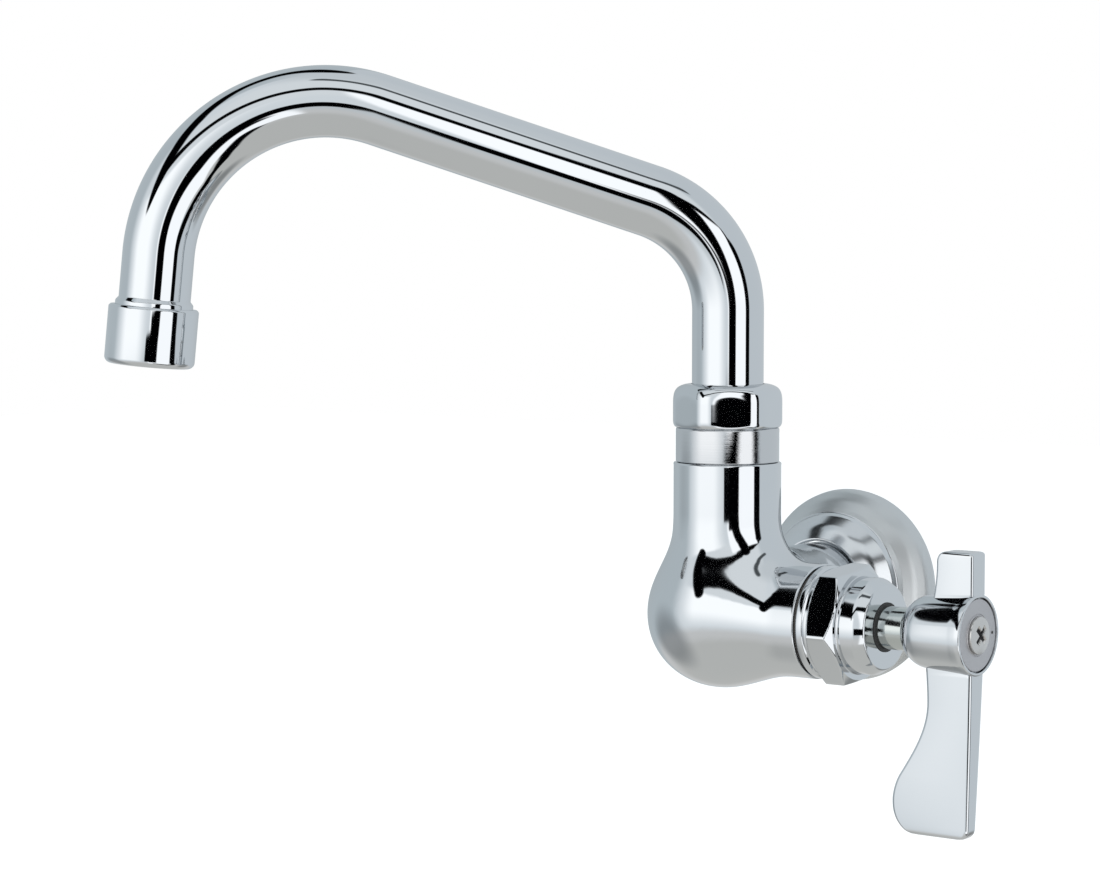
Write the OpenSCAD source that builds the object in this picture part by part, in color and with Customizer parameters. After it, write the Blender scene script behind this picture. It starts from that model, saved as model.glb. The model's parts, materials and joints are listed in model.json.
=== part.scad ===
// Single-hole wall faucet with a swing spout, an aerator and a quarter-turn
// lever. Frame: the origin is the middle of the inlet thread's mouth, in the
// wall's surface. +Y goes into the wall, +X is the lever's side and +Z is up.

/* [Layout] */
// wall surface to the riser axis
riser_y = 64; // [55:1:80]
// how far the valve's axis hangs below the inlet's
valve_drop = 2; // [0:0.5:4]
// how far the spout is swung left of straight out
spout_swing = 53; // [0:1:90]

/* [Spout] */
// outside diameter of the spout tube
tube_od = 19.05; // [16:0.05:25.4]
// wall of the spout tube
tube_wall = 1.2; // [0.8:0.1:2]
// height of the tube's lower end
tube_z0 = 53; // [50:0.5:60]
// height where riser and arm centre lines would cross
corner_z = 102.3; // [90:0.1:130]
// rise of the arm in degrees
arm_rise = 18.5; // [0:0.5:30]
// centre line radius of the lower bend
bend_r = 30.5; // [25:0.5:40]
// how far out the gooseneck's centre is
goose_x = 106; // [80:0.5:200]
// height of the gooseneck's centre
goose_z = 90.9; // [80:0.1:110]
// lean of the outlet, lower end outwards
outlet_lean = 5.4; // [0:0.1:10]
// straight tube below the gooseneck
outlet_straight = 11.6; // [5:0.1:30]

/* [Aerator] */
// outside diameter of the aerator housing
aerator_od = 23.8; // [22:0.1:28]
// height of the aerator housing
aerator_h = 15.7; // [10:0.1:20]

/* [Spout nut] */
// across the nut's flats
nut_af = 26.6; // [24:0.1:32]
// how far the nut's corners are rounded back
nut_corner = 0.8; // [0:0.1:1.5]
// diameter of the turned skirt
skirt_od = 27.4; // [25:0.1:30]
// height of the skirt's lower edge
skirt_z0 = 40.4; // [35:0.1:45]
// height of the skirt
skirt_h = 9; // [5:0.5:12]
// height of the six-sided part
nut_h = 11.7; // [8:0.1:15]

/* [Body] */
// radius of the round belly
belly_r = 18.8; // [16:0.1:25]
// how far the belly sits away from the lever
belly_shift = 3; // [0:0.1:6]
// diameter of the neck under the spout nut
neck_od = 28.5; // [26:0.1:32]
// radius of the neck towards the valve
valve_neck_r = 15; // [13:0.1:18]
// riser axis to the end of the valve neck
valve_neck_x = 30; // [25:0.5:40]
// radius of the neck towards the wall
inlet_neck_r = 13.3; // [12:0.1:16]
// radius of the inlet thread, cut for half inch pipe
inlet_thread_r = 9.2; // [9:0.05:10]
// depth of the inlet thread
inlet_thread_len = 15; // [12:0.5:20]

/* [Wall flange] */
// radius of the rim at the wall
flange_r = 27; // [22:0.5:40]
// radius of the front edge of the outer band
flange_step_r = 22; // [18:0.5:30]
// depth of the outer band
flange_band = 10; // [6:0.5:14]
// depth of the whole flange
flange_depth = 19; // [12:0.5:24]
// thickness of the flange
flange_t = 1.8; // [1:0.1:3]

/* [Bonnet] */
// across the bonnet's flats
bonnet_af = 28.6; // [25:0.1:32]
// where the six-sided part starts
bonnet_hex_x = 33.7; // [30:0.1:38]
// where the six-sided part ends
bonnet_hex_end = 41.7; // [38:0.1:46]
// radius of the barrel
barrel_r = 12.6; // [10:0.1:14]
// where the barrel ends
barrel_end = 49.1; // [45:0.1:55]

/* [Stem and lever] */
// radius of the stem outside the bonnet
stem_r = 5.5; // [4:0.1:7]
// where the lever's hub starts
hub_x0 = 56.6; // [52:0.5:62]
// where the lever's face is
face_x = 76; // [70:0.1:82]
// radius of the hub's face
face_r = 10.4; // [9:0.1:13]
// radius of the round insert
insert_r = 9.3; // [8:0.1:12]
// thickness of the lever at its hub
blade_t = 7.2; // [5:0.1:10]
// thickness of the lever at its lower end
blade_tip_t = 4.6; // [3:0.1:8]

/* [Hidden] */
$fn = 96;
tube_r = tube_od / 2;
bore_tube_r = tube_r - tube_wall;
spout_bore_r = 9.2;
spigot_r = 11.9;
spigot_top = 49;
cavity_r = 10;
mouth_r = 11.5;
seat_x = 8;
bend_deg = 90 - arm_rise;
bend_t = bend_r * tan(bend_deg / 2);
goose_r = goose_x * sin(arm_rise) + (corner_z - goose_z) * cos(arm_rise);
goose_along = goose_x * cos(arm_rise) - (corner_z - goose_z) * sin(arm_rise);
goose_deg = arm_rise + 90 - outlet_lean;
outlet_x = goose_x + goose_r * cos(outlet_lean);
outlet_z = goose_z + goose_r * sin(outlet_lean);
chrome = [0.82, 0.83, 0.85];
brass = [0.78, 0.66, 0.36];
rubber = [0.08, 0.08, 0.08];

// ---- placing ----

module at_riser() {
    translate([0, -riser_y, -valve_drop])
        children();
}

// child drawn along +Z is turned to run along +X from the riser axis
module at_valve() {
    translate([0, -riser_y, -valve_drop])
        rotate([0, 90, 0])
            children();
}

// child drawn along +Z is turned to run from the wall towards the user
module at_inlet() {
    rotate([90, 0, 0])
        children();
}

// spout plane: local +X points out along the spout
module at_spout() {
    at_riser()
        rotate([0, 0, 270 - spout_swing])
            children();
}

// local frame of the outlet: +Z runs down out of the spout
module at_outlet() {
    at_spout()
        translate([outlet_x, 0, outlet_z])
            rotate([0, 180 - outlet_lean, 0])
                translate([0, 0, outlet_straight])
                    children();
}

module ring(r_out, r_in, z0, z1) {
    translate([0, 0, z0])
        difference() {
            cylinder(r = r_out, h = z1 - z0);
            translate([0, 0, -1])
                cylinder(r = r_in, h = z1 - z0 + 2);
        }
}

module rod(r, z0, z1) {
    translate([0, 0, z0])
        cylinder(r = r, h = z1 - z0);
}

module oring(r_mid, r_cord, z) {
    translate([0, 0, z])
        rotate_extrude()
            translate([r_mid, 0])
                circle(r = r_cord, $fn = 32);
}

// points of an arc, for outlines
function arc(cx, cy, r, a0, a1, n = 8) =
    [for (i = [0 : n]) [cx + r * cos(a0 + (a1 - a0) * i / n), cy + r * sin(a0 + (a1 - a0) * i / n)]];

// points of a smooth curve through two ends and two guides
function curve(a, b, c, d, n = 10) =
    [for (i = [0 : n]) let (t = i / n, s = 1 - t)
        s * s * s * a + 3 * s * s * t * b + 3 * s * t * t * c + t * t * t * d];

// ---- faucet body ----

module body_skin() {
    // belly
    at_riser()
        translate([-belly_shift, 0, -0.8])
            sphere(r = belly_r);
    // neck up to the spout nut, flaring into the belly
    at_riser()
        rotate_extrude()
            polygon(concat(
                [[0, 0]],
                curve([17.9, 6], [17.2, 13], [15.5, 19], [15.2, 26]),
                [[neck_od / 2 + 0.15, 36], [neck_od / 2, skirt_z0 - 0.5],
                 [neck_od / 2 - 0.5, skirt_z0], [0, skirt_z0]]));
    // neck towards the valve
    at_valve()
        rotate_extrude()
            polygon(concat(
                [[0, 0]],
                curve([18.6, 3], [17.6, 10], [15.8, 17], [15.3, 23]),
                [[valve_neck_r, valve_neck_x - 0.6], [valve_neck_r - 0.6, valve_neck_x],
                 [0, valve_neck_x]]));
    // neck towards the wall
    at_inlet()
        rotate_extrude()
            polygon(concat(
                [[0, 0], [inlet_neck_r - 0.6, 0], [inlet_neck_r, 0.6], [inlet_neck_r, 24]],
                curve([13.5, 26], [13.8, 34], [15, 42], [17, 50]),
                [[17, riser_y], [0, riser_y]]));
    // spigot for the spout nut's thread
    at_riser()
        rod(spigot_r, skirt_z0 - 4, spigot_top);
}

module faucet_body() {
    color(chrome)
    difference() {
        body_skin();
        // socket for the spout's tail
        at_riser()
            rod(spout_bore_r, 18, spigot_top + 1);
        // inlet thread and waterway
        at_inlet()
            rod(inlet_thread_r, -1, inlet_thread_len);
        at_inlet()
            rod(7, inlet_thread_len - 1, riser_y);
        at_riser()
            sphere(r = 8);
        // hole through the seat, cartridge chamber and bonnet thread
        at_valve()
            rod(5.6, 0, seat_x + 1);
        at_valve()
            rod(cavity_r, seat_x, 21);
        at_valve()
            rod(mouth_r, 19, valve_neck_x + 1);
        // passage from the chamber up to the spout
        at_riser()
            translate([16, 0, 6])
                rotate([0, -47, 0])
                    cylinder(r = 3.6, h = 22);
    }
}

// ---- wall flange ----

module wall_flange() {
    color(chrome)
    at_inlet()
        rotate_extrude()
            polygon(concat(
                [[flange_r - 1.6, 0], [flange_r - 0.5, 0], [flange_r, 0.5], [flange_r, 1.4]],
                curve([flange_r - 0.1, 2.6], [flange_r - 0.9, 5.6],
                      [flange_step_r + 2.6, 8.4], [flange_step_r + 0.3, flange_band]),
                [[flange_step_r - 0.5, flange_band + 0.3], [flange_step_r - 1.1, flange_band + 0.7]],
                curve([flange_step_r - 1.5, flange_band + 1.5], [flange_step_r - 2.4, flange_band + 4.5],
                      [17.4, flange_depth - 1], [14.4, flange_depth]),
                [[13.9, flange_depth], [13.6, flange_depth - 0.3], [13.6, flange_depth - flange_t - 1]],
                curve([15.4, flange_depth - flange_t - 1], [17.2, flange_depth - flange_t - 1.4],
                      [18.2, flange_band + 3], [flange_step_r - 3.2, flange_band]),
                curve([flange_step_r - 1.2, flange_band - 1.6], [flange_step_r + 1, 7],
                      [flange_r - 2.6, 4.6], [flange_r - 1.6, 1.8])));
}

module flange_gasket() {
    color(rubber)
    at_inlet()
        ring(flange_r - 2.2, flange_r - 5, 0, 1.6);
}

// ---- spout, turning with the swivel ----

// Solid of the spout's run. The bends are a hair thinner than the straights,
// as in bent tube, and the straights reach a little way into them.
module spout_run(r, extra = 0) {
    lap = 0.6;
    thick = r + 0.015;
    thin = r - 0.045;
    rotate([0, 0, 90])
        rod(thick, tube_z0 - extra, corner_z - bend_t + lap);
    translate([bend_r, 0, corner_z - bend_t])
        rotate([90, 0, 0])
            rotate([0, 0, 180 - bend_deg])
                rotate_extrude(angle = bend_deg)
                    translate([bend_r, 0])
                        circle(r = thin);
    translate([0, 0, corner_z])
        rotate([0, 90 - arm_rise, 0])
            rotate([0, 0, 90])
                rod(thick, bend_t - lap, goose_along + lap);
    translate([goose_x, 0, goose_z])
        rotate([90, 0, 0])
            rotate([0, 0, outlet_lean])
                rotate_extrude(angle = goose_deg)
                    translate([goose_r, 0])
                        circle(r = thin);
    translate([outlet_x, 0, outlet_z])
        rotate([0, 180 - outlet_lean, 0])
            rotate([0, 0, 90])
                rod(thick, -lap, outlet_straight + extra);
}

module spout_tube() {
    color(chrome)
    at_spout()
        difference() {
            spout_run(tube_r);
            spout_run(bore_tube_r, 1);
        }
}

// brazed tail of the spout, with grooves for the rings
module spout_ferrule() {
    color(brass)
    at_riser()
        difference() {
            union() {
                rod(bore_tube_r, 51, 60);
                rod(tube_r, 51.4, tube_z0);
                rod(spout_bore_r - 0.05, 20, 51.6);
            }
            rod(6.4, 19, 61);
            for (z = [25, 33])
                ring(spout_bore_r + 1, 7.3, z - 1.2, z + 1.2);
            ring(spout_bore_r + 1, 8, 49.9, 51.4);
        }
}

module spout_orings() {
    color(rubber)
    at_riser()
        for (z = [25, 33])
            oring(8.22, 0.9, z);
}

// open ring that snaps into the tail's groove and takes the nut's pull
module spout_split_ring() {
    color(brass)
    at_riser()
        difference() {
            ring(11.4, 8.05, 49.95, 51.35);
            rotate([0, 0, 100])
                translate([0, -1.2, 49])
                    cube([14, 2.4, 4]);
        }
}

module swivel_washer() {
    color([0.92, 0.92, 0.9])
    at_riser()
        ring(11.5, 9.3, spigot_top, spigot_top + 0.9);
}

module spout_nut() {
    hex_z = skirt_z0 + skirt_h;
    top = hex_z + nut_h;
    corner = nut_af / sqrt(3) - nut_corner;
    color(chrome)
    at_riser()
        difference() {
            union() {
                // turned skirt
                rotate_extrude()
                    polygon([[0, skirt_z0 + 0.1], [skirt_od / 2 - 0.4, skirt_z0 + 0.1],
                             [skirt_od / 2, skirt_z0 + 0.5], [skirt_od / 2, hex_z - 0.5],
                             [skirt_od / 2 - 0.6, hex_z], [0, hex_z + 1]]);
                // six-sided part with a domed top
                intersection() {
                    rotate([0, 0, 90 - spout_swing])
                        rod(nut_af / sqrt(3), hex_z - 0.4, top, $fn = 6);
                    rotate_extrude()
                        polygon(concat(
                            [[0, hex_z - 0.4], [nut_af / 2 + 0.3, hex_z - 0.4],
                             [corner, hex_z + 0.9]],
                            curve([corner, hex_z + 6], [corner - 0.1, hex_z + 9.8],
                                  [corner - 1.4, top], [10.4, top]),
                            [[0, top]]));
                }
            }
            // thread, room for the split ring, hole for the tube
            rod(spigot_r + 0.1, skirt_z0 - 1, 51.5);
            rod(tube_r + 0.09, 50, top + 1);
        }
}

// ---- outlet ----

module outlet_thread() {
    color(chrome)
    at_outlet()
        difference() {
            union() {
                rod(bore_tube_r, -7, 0.5);
                rotate_extrude()
                    polygon([[0, 0], [tube_r, 0], [10.3, 1.1], [10.3, 1.9], [0, 1.9]]);
                rod(10.5, 1, 8.2);
            }
            rod(6.9, -8, 9);
        }
}

module aerator_housing() {
    r = aerator_od / 2;
    h0 = 2.1;
    h1 = h0 + aerator_h;
    color(chrome)
    at_outlet()
        rotate_extrude()
            polygon(concat(
                [[10.6, h0], [r - 0.9, h0], [r - 0.2, h0 + 0.5], [r, h0 + 1.1], [r, h1 - 1.9]],
                arc(r - 1.7, h1 - 1.7, 1.7, 0, 90, 6),
                [[9, h1], [9, h1 - 1.4], [10, h1 - 1.4], [10, h0 + 6.4], [10.6, h0 + 6.4]]));
}

module aerator_washer() {
    color(rubber)
    at_outlet()
        ring(9.9, 7.2, 8.3, 10.1);
}

module aerator_insert() {
    color([0.86, 0.87, 0.88])
    at_outlet()
        difference() {
            union() {
                ring(9.8, 8.3, 10.2, 16.2);
                rod(8.6, 10.2, 11.6);
            }
            for (i = [0 : 11])
                rotate([0, 0, 30 * i])
                    translate([5.6, 0, 9])
                        cylinder(r = 0.7, h = 4, $fn = 16);
            for (i = [0 : 5])
                rotate([0, 0, 60 * i])
                    translate([2.6, 0, 9])
                        cylinder(r = 0.7, h = 4, $fn = 16);
        }
}

module aerator_screen() {
    pitch = 1.9;
    color([0.7, 0.7, 0.72])
    at_outlet()
        difference() {
            rod(8.2, 14.6, 15.4);
            for (i = [-3 : 3])
                for (j = [-3 : 3])
                    if (i * i + j * j < 12.5)
                        translate([pitch * i - 0.65, pitch * j - 0.65, 14])
                            cube([1.3, 1.3, 2]);
        }
}

// ---- valve ----

module bonnet_washer() {
    color([0.55, 0.45, 0.35])
    at_valve()
        ring(13.8, mouth_r + 0.1, valve_neck_x, valve_neck_x + 0.6);
}

module bonnet_nut() {
    vertex = bonnet_af / sqrt(3);
    collar_x = valve_neck_x + 0.6;
    color(chrome)
    at_valve()
        difference() {
            union() {
                rod(mouth_r - 0.05, 20.2, collar_x + 0.5);
                rotate_extrude()
                    polygon([[0, collar_x], [14.3, collar_x], [14.8, collar_x + 0.5],
                             [14.8, bonnet_hex_x + 0.5], [0, bonnet_hex_x + 0.5]]);
                intersection() {
                    rotate([0, 0, -22.6])
                        rod(vertex, bonnet_hex_x, bonnet_hex_end, $fn = 6);
                    rotate_extrude()
                        polygon([[0, bonnet_hex_x], [bonnet_af / 2 - 0.2, bonnet_hex_x],
                                 [vertex, bonnet_hex_x + 1.5], [vertex, bonnet_hex_end - 1.7],
                                 [bonnet_af / 2 - 0.2, bonnet_hex_end], [0, bonnet_hex_end]]);
                }
                rotate_extrude()
                    polygon([[0, bonnet_hex_end - 1], [barrel_r, bonnet_hex_end - 1],
                             [barrel_r, barrel_end - 2.6], [barrel_r - 0.4, barrel_end - 2.2],
                             [barrel_r - 0.4, barrel_end - 1.6], [barrel_r - 1.6, barrel_end],
                             [0, barrel_end]]);
            }
            rod(9, 19, 42.4);
            rod(stem_r + 0.1, 42, barrel_end + 1);
            ring(20, barrel_r + 2, barrel_end - 1, barrel_end);
        }
}

module cartridge_shell() {
    color(brass)
    at_valve()
        difference() {
            union() {
                rod(cavity_r - 0.1, 10.1, 12.5);
                rod(8.9, 12, 40);
            }
            rod(7.3, 9, 17.6);
            rod(4.7, 17, 41);
            for (s = [-1, 1])
                translate([0, s * 8, 15])
                    rotate([0, 0, 0])
                        cube([7, 6, 4.4], center = true);
        }
}

module cartridge_seal() {
    color(rubber)
    at_valve()
        ring(9.6, 5.7, seat_x, 10);
}

module disc(r, x0, x1) {
    difference() {
        rod(r, x0, x1);
        children();
    }
}

module fixed_disc() {
    color([0.95, 0.94, 0.9])
    at_valve()
        disc(7.2, 10.1, 12.4)
            for (s = [-1, 1])
                translate([s * 3.7, 0, 9])
                    cylinder(r = 2.2, h = 6);
}

module moving_disc() {
    color([0.93, 0.9, 0.85])
    at_valve()
        disc(7, 12.45, 14.8) {
            for (s = [-1, 1])
                translate([0, s * 3.7, 9])
                    cylinder(r = 2.2, h = 8);
            translate([-5.1, -0.8, 13.9])
                cube([10.2, 1.6, 2]);
        }
}

module valve_stem() {
    color(brass)
    at_valve()
        difference() {
            union() {
                translate([-5, -0.7, 14])
                    cube([10, 1.4, 1.4]);
                rod(5.4, 15, 17.3);
                rod(4.6, 17, 44.6);
                rod(stem_r, 43.2, 56.3);
                translate([-3.6, -3.6, 56])
                    cube([7.2, 7.2, 10.2]);
            }
            for (x = [27, 34])
                ring(6, 3.5, x - 0.8, x + 0.8);
            ring(6, 3.7, 40.3, 41.3);
            ring(8, 4.9, 50.9, 52.1);
            rod(1.9, 54, 67);
        }
}

module stem_orings() {
    color(rubber)
    at_valve()
        for (x = [27, 34])
            oring(4.08, 0.55, x);
}

// open clip that stops the stem from coming out of the cartridge
module stem_clip() {
    color([0.6, 0.6, 0.62])
    at_valve()
        difference() {
            ring(7, 3.8, 40.4, 41.2);
            translate([0, -2.4, 40])
                cube([9, 4.8, 2]);
        }
}

module stem_wiper() {
    color(rubber)
    at_valve()
        ring(6.4, 4.95, 51, 52);
}

// ---- lever ----

// drawn with the valve's axis as x and up as y
module blade_outline() {
    polygon(concat(
        [[face_x - 1.4, 21], [face_x - 0.2, 20.2], [face_x, 19]],
        [[face_x, 6], [face_x - 0.4, -14]],
        curve([face_x - 1, -30], [face_x - 1.3, -41], [face_x - 1.5, -46], [face_x - 2, -48.8]),
        curve([face_x - 3, -51.8], [face_x - 8, -53], [59, -52.4], [55.4, -49.6]),
        curve([52.6, -47.4], [51.8, -43.6], [52.6, -39.4], [55, -36.4]),
        curve([58.4, -31.2], [62.2, -26], [62.9, -19], [62.4, -11]),
        [[61.6, -7], [63.6, 8]],
        curve([65, 11], [65.2, 14], [65.3, 17], [65.6, 18.6]),
        [[66.2, 20], [67.6, 20.7]]));
}

module handle_lever() {
    color(chrome)
    difference() {
        union() {
            at_riser()
                intersection() {
                    rotate([90, 0, 0])
                        linear_extrude(height = blade_t, center = true)
                            blade_outline();
                    // the blade thins towards its lower end
                    translate([40, 0, 0])
                        rotate([90, 0, 90])
                            linear_extrude(height = 50)
                                polygon([[-blade_t / 2, 30], [-blade_t / 2, -10],
                                         [-blade_tip_t / 2, -54], [blade_tip_t / 2, -54],
                                         [blade_t / 2, -10], [blade_t / 2, 30]]);
                }
            at_valve()
                rotate_extrude()
                    polygon(concat(
                        [[0, hub_x0], [5.8, hub_x0]],
                        curve([6.3, hub_x0 + 0.4], [7.6, 58.4], [8.9, 60.6], [9.5, 65]),
                        curve([9.7, 67], [9.9, 70], [10.2, 72.5], [face_r, 74]),
                        [[face_r, face_x - 0.5], [face_r - 0.5, face_x], [0, face_x]]));
        }
        at_valve() {
            translate([-3.7, -3.7, 55])
                cube([7.4, 7.4, 11.4]);
            rod(2.2, 60, 80);
            rod(insert_r + 0.1, face_x - 1.4, 80);
        }
    }
}

module handle_insert() {
    color([0.66, 0.66, 0.66])
    at_valve()
        difference() {
            rod(insert_r, face_x - 1.35, face_x - 0.3);
            rod(2.2, 70, 80);
        }
}

module handle_screw() {
    seat = face_x - 0.3;
    color([0.75, 0.75, 0.76])
    at_valve()
        difference() {
            union() {
                rod(1.85, 56, seat + 0.5);
                rotate_extrude()
                    polygon([[0, seat], [4.8, seat], [4.8, seat + 0.5], [4.1, seat + 1.2],
                             [2.4, seat + 1.7], [0, seat + 1.9]]);
            }
            for (a = [0, 90])
                rotate([0, 0, a + 45])
                    translate([-2.4, -0.5, seat + 0.4])
                        cube([4.8, 1, 3]);
        }
}

faucet_body();
wall_flange();
flange_gasket();
spout_tube();
spout_ferrule();
spout_orings();
spout_split_ring();
swivel_washer();
spout_nut();
outlet_thread();
aerator_housing();
aerator_washer();
aerator_insert();
aerator_screen();
bonnet_nut();
bonnet_washer();
cartridge_shell();
cartridge_seal();
fixed_disc();
moving_disc();
valve_stem();
stem_orings();
stem_clip();
stem_wiper();
handle_lever();
handle_insert();
handle_screw();
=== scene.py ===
"""Looks of the single-hole wall faucet: studio, camera, finishes and detailed surfaces on the CAD frame."""
import bpy
import bmesh
import json
import math
import numpy as np
from mathutils import Matrix, Vector


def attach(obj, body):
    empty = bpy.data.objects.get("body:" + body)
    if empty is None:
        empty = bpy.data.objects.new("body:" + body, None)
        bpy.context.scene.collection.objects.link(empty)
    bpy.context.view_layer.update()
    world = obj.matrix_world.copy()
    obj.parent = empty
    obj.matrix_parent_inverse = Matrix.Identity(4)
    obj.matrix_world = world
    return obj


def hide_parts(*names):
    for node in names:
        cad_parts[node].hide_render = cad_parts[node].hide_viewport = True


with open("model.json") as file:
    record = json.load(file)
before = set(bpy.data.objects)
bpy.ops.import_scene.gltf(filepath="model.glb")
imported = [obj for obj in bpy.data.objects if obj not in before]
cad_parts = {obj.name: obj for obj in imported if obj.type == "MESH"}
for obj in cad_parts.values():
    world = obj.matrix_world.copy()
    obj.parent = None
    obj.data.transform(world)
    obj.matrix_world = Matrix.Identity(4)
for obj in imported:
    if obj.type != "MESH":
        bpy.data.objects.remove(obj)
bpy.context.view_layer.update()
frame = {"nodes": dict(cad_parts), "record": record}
MM = 0.001

# ---------------------------------------------------------------- layout, as in the CAD, in millimetres and degrees
RISER_Y = -64.0                       # riser and valve axes cross here
HUB = Vector((0.0, RISER_Y, -2.0))    # where riser, valve and inlet axes meet
NECK_TOP, VALVE_END = 39.8, 29.4      # machined ends of the body, above and beside the hub
BONNET_FACE = 49.1                    # end face of the bonnet, along the valve's axis
LEVER_START, LEVER_FACE = 56.6, 76.0  # both ends of the lever's hub, along the valve's axis
SPOUT_TURN = 53.0                     # how far the spout is turned at rest
SPOUT_OUT = math.radians(270 - SPOUT_TURN)

# ---------------------------------------------------------------- view and studio
CAMERA_AZIMUTH, CAMERA_PITCH = 37.0, 4.0                            # towards the lever's side, and below level
CAMERA_DISTANCE, CAMERA_LEFT, CAMERA_ABOVE = 824.0, 47.0, 43.9      # from the hub
CAMERA_LENS = 101.45
TENT_RADIUS, TENT_RISE = 2.6, 40.0    # metres, and millimetres from the hub to its middle
FLOOR_HALF, FLOOR_HEIGHT = 6.0, -0.42  # metres


# ---------------------------------------------------------------- camera
def make_camera():
    az, pitch = math.radians(CAMERA_AZIMUTH), math.radians(CAMERA_PITCH)
    right = Vector((math.cos(az), math.sin(az), 0))
    forward = Vector((-math.sin(az) * math.cos(pitch), math.cos(az) * math.cos(pitch), -math.sin(pitch)))
    up = right.cross(forward)
    place = (HUB - right * CAMERA_LEFT + up * CAMERA_ABOVE - forward * CAMERA_DISTANCE) * MM
    data = bpy.data.cameras.new("camera")
    data.lens = CAMERA_LENS
    data.sensor_width = 36.0
    data.clip_start = 0.01
    data.clip_end = 50.0
    camera = bpy.data.objects.new("camera", data)
    bpy.context.scene.collection.objects.link(camera)
    camera.matrix_world = Matrix.Translation(place) @ Matrix((right, up, -forward)).transposed().to_4x4()
    bpy.context.scene.camera = camera


# ---------------------------------------------------------------- studio
def rise(x, low, high):
    """Smooth step from 0 at low to 1 at high."""
    u = np.clip((x - low) / (high - low), 0, 1)
    return u * u * (3 - 2 * u)


def box(az, el, left, right, low, high, soft=1.5):
    """1 inside a range of directions, 0 outside it."""
    return (rise(az, left - soft, left + soft) * (1 - rise(az, right - soft, right + soft))
            * rise(el, low - soft, low + soft) * (1 - rise(el, high - soft, high + soft)))


def spot(az, el, middle, radius):
    """A soft round patch of directions."""
    a, e = math.radians(middle[0]), math.radians(middle[1])
    near = (np.sin(np.radians(el)) * math.sin(e)
            + np.cos(np.radians(el)) * math.cos(e) * np.cos(np.radians(az) - a))
    return 1 - rise(np.degrees(np.arccos(np.clip(near, -1, 1))), radius * 0.35, radius)


def strip(az, el, points, half, soft=1.2):
    """A bar along a run of directions."""
    def vector(a, e):
        a, e = np.radians(a), np.radians(e)
        return np.stack([np.sin(a) * np.cos(e), np.cos(a) * np.cos(e), np.sin(e)], axis=-1)
    here, best = vector(az, el), np.full(az.shape, -1.0)
    for p, q in zip(points, points[1:]):
        for t in np.linspace(0, 1, 14):
            there = vector(p[0] + (q[0] - p[0]) * t, p[1] + (q[1] - p[1]) * t)
            best = np.maximum(best, here @ there)
    return 1 - rise(np.degrees(np.arccos(np.clip(best, -1, 1))), half - soft, half + soft)


def tent_light(az, el):
    """Brightness and tint of the tent, as plain chrome shows them, 0 to 1."""
    grey = lambda r, g, b: np.array([r, g, b]) / 255.0
    left, right = grey(170, 178, 182), grey(185, 191, 195)
    under, above = grey(177, 177, 174), grey(209, 213, 215)
    white, black, darkest = grey(254, 255, 255), grey(2, 2, 3), grey(1, 1, 2)

    def lay(under_it, colour, amount):
        return under_it * (1 - amount[..., None]) + np.asarray(colour) * amount[..., None]

    c = np.zeros(az.shape + (3,)) + left
    c = lay(c, right, rise(az, 40, 70))
    c = lay(c, grey(205, 210, 213), rise(az, -100, -82) * (1 - rise(az, 40, 70)))
    c = lay(c, above, rise(el, 14, 24) * rise(az, -70, -55) * (1 - rise(az, 48, 62)))
    c = lay(c, grey(190, 195, 198), rise(el, 60, 82))
    # big soft box on the left, fading to both sides and downwards
    bright = rise(az, -88, -62) * (1 - rise(az, -36, -6)) * rise(el, -26, 1) * (1 - rise(el, 18, 22))
    c = lay(c, white, bright)
    below = rise(az, -26, -9) * (1 - rise(az, -4, -1)) * (1 - rise(el, -12, -3))
    c = lay(c, grey(178, 183, 185), below * 0.8)
    # warm floor, seen from below
    c = lay(c, grey(190, 190, 189), 1 - rise(el, -30, -18))
    c = lay(c, under, 1 - rise(el, -46, -30))
    c = lay(c, grey(96, 100, 102), spot(az, el, (-112, -30), 34) * 0.5)
    c = lay(c, grey(110, 112, 112), spot(az, el, (121, -36), 22) * 0.75)
    # soft box on the right, with its black frame
    c = lay(c, black, strip(az, el, [(8, 38), (20, 38), (40, 36), (56, 29), (60, 8), (62, -8), (69, -22),
                                     (71, -38), (56, -46), (38, -44), (12, -33)], 4.4))
    c = lay(c, grey(253, 254, 255), box(az, el, -3, 56.5, -1.5, 33))
    c = lay(c, grey(250, 251, 252), box(az, el, -3, 56.5, -36, 2))
    c = lay(c, black, strip(az, el, [(61, 22), (62, 5), (63, -10), (70, -24), (72, -36)], 6.5))
    c = lay(c, black, strip(az, el, [(14, -35), (40, -45), (58, -45)], 3.4))
    # where the camera and its operator stand
    c = lay(c, darkest, box(az, el, 0.5, 20, -21, 1.5))
    c = lay(c, darkest, box(az, el, -10, 4, -16, -3, 1.0))
    # the gap between the two soft boxes, and the edge over the left one
    c = lay(c, darkest, strip(az, el, [(14, -2), (16, 10), (20, 20), (23, 30), (23, 38)], 7.5))
    c = lay(c, black, strip(az, el, [(-62, 25), (-35, 34), (-10, 39), (8, 40)], 4.0))
    # black bar over the left box
    c = lay(c, black, strip(az, el, [(-59, 21), (-68, 30), (-84, 41), (-104, 48), (-124, 52), (-146, 61),
                                     (-165, 72)], 6.5))
    c = lay(c, grey(70, 74, 76), strip(az, el, [(-20, 70), (30, 68), (70, 58)], 3.0))
    return c


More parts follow.
